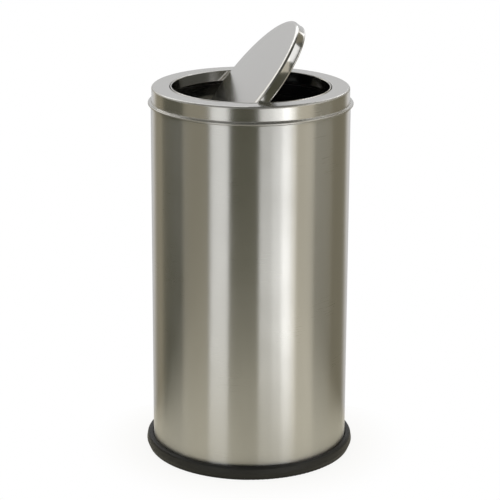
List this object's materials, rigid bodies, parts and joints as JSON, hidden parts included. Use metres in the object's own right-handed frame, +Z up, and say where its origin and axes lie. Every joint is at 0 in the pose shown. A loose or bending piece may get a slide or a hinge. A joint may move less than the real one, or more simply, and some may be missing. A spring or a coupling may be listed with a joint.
{
  "type": "swing-lid trash can",
  "caption": "Tall round brushed-steel bin: ring lid with a pivoting disc flap, black base ring, and an inner bucket with a wire bail.",
  "frame": {"origin": "centre of the base ring's foot, on the floor", "axes": "+Z up along the bin's axis, -Y towards the front as pictured, weld seam at +Y"},
  "size_m": [0.2674, 0.2674, 0.5549],
  "materials": {
    "shell_steel": "fine round-brushed stainless",
    "lid_steel": "satin stainless",
    "polished_steel": "polished stainless",
    "zinc_steel": "zinc plated",
    "black_moulding": "satin moulded",
    "bucket_plastic": "fine-grained moulded",
    "nylon": "plain"
  },
  "bodies": {
    "can": {"outer_shell": "shell_steel", "base_ring": "black_moulding", "bottom_plate": "zinc_steel"},
    "lid": {"lid_ring": "lid_steel", "hole_collar": "polished_steel", "collar_tabs": "zinc_steel", "front_pivot_bush": "nylon", "rear_pivot_bush": "nylon"},
    "flap": {"flap_cap": "lid_steel", "flap_cover": "black_moulding", "front_pivot_pin": "zinc_steel", "rear_pivot_pin": "zinc_steel", "push_nuts": "zinc_steel", "counterweights": "zinc_steel", "counterweight_screws": "zinc_steel"},
    "bucket": {"inner_bucket": "bucket_plastic"},
    "bail": {"bail_wire": "zinc_steel", "bail_grip": "bucket_plastic"}
  },
  "joints": [
    {"name": "lid_lift", "type": "slide", "parent": "can", "child": "lid", "axis": [0, 0, 1], "range_m": [0, 1]},
    {"name": "flap_swing", "type": "hinge", "parent": "lid", "child": "flap", "pos_m": [-0.00513, -0.00088, 0.472], "axis": [0.1685, -0.9857, 0], "range_deg": [-134, 80]},
    {"name": "bucket_lift", "type": "slide", "parent": "can", "child": "bucket", "axis": [0, 0, 1], "range_m": [0, 0.5]},
    {"name": "bail_swing", "type": "hinge", "parent": "bucket", "child": "bail", "pos_m": [0, 0, 0.4309], "axis": [1, 0, 0], "range_deg": [0, 90]}
  ],
  "couplings": [
    {"joint": "bucket_lift", "follows": "lid_lift", "ratio": 0.5},
    {"joint": "bail_swing", "follows": "lid_lift", "rad_per_m": 1.57}
  ]
}
